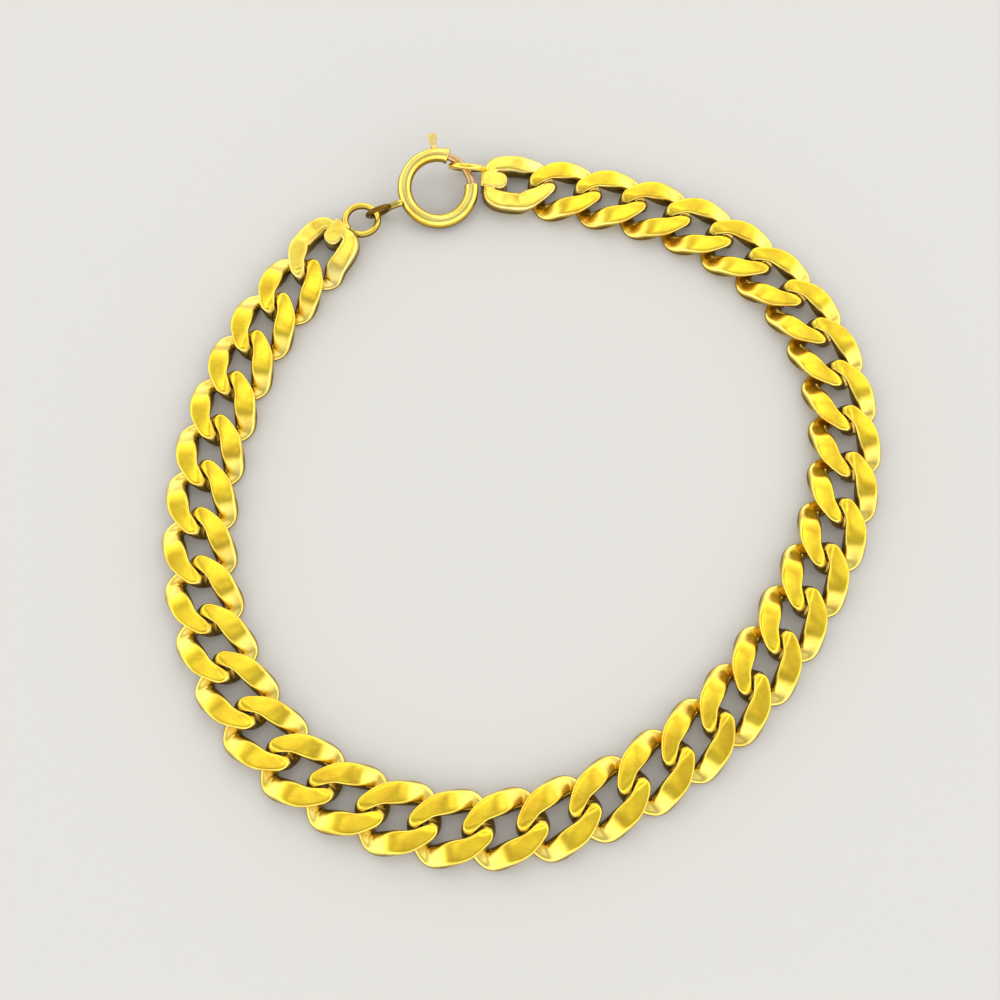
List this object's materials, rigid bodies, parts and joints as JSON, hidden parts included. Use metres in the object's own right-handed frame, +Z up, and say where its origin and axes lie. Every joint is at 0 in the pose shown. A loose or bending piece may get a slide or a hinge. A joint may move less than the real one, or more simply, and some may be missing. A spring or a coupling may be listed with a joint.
{
  "type": "link bracelet",
  "caption": "Flat-ground curb chain bracelet closed by a spring ring clasp, lying on a surface as a closed loop",
  "frame": {"origin": "under the middle of the loop's box, on the surface that the bracelet lies on", "axes": "+Z up from that surface, +Y towards the clasp's side of the loop, +X to the right of it"},
  "size_m": [0.0666, 0.0707, 0.0038],
  "materials": {
    "chain": "gilt, its ground faces polished",
    "end_links": "gilt, with soldered tongues and rings",
    "clasp": "gilt tube, polished",
    "gate": "gilt wire, polished"
  },
  "bodies": {
    "bracelet": {"end_link_left": "end_links", "link_02": "chain", "link_03": "chain", "link_04": "chain", "link_05": "chain", "link_06": "chain", "link_07": "chain", "link_08": "chain", "link_09": "chain", "link_10": "chain", "link_11": "chain", "link_12": "chain", "link_13": "chain", "link_14": "chain", "link_15": "chain", "link_16": "chain", "link_17": "chain", "link_18": "chain", "link_19": "chain", "link_20": "chain", "link_21": "chain", "link_22": "chain", "link_23": "chain", "link_24": "chain", "link_25": "chain", "link_26": "chain", "link_27": "chain", "link_28": "chain", "link_29": "chain", "link_30": "chain", "link_31": "chain", "link_32": "chain", "link_33": "chain", "link_34": "chain", "link_35": "chain", "link_36": "chain", "link_37": "chain", "end_link_right": "end_links", "spring_ring": "clasp"},
    "gate": {"gate": "gate"}
  },
  "joints": [
    {"name": "gate_slide", "type": "hinge", "parent": "bracelet", "child": "gate", "pos_m": [-0.01006, 0.02989, 0.00184], "axis": [0.0707, -0.3079, 0.9488], "range_deg": [0, 60], "stiffness_Nm_per_rad": 0.001, "springref_deg": -11.46}
  ]
}
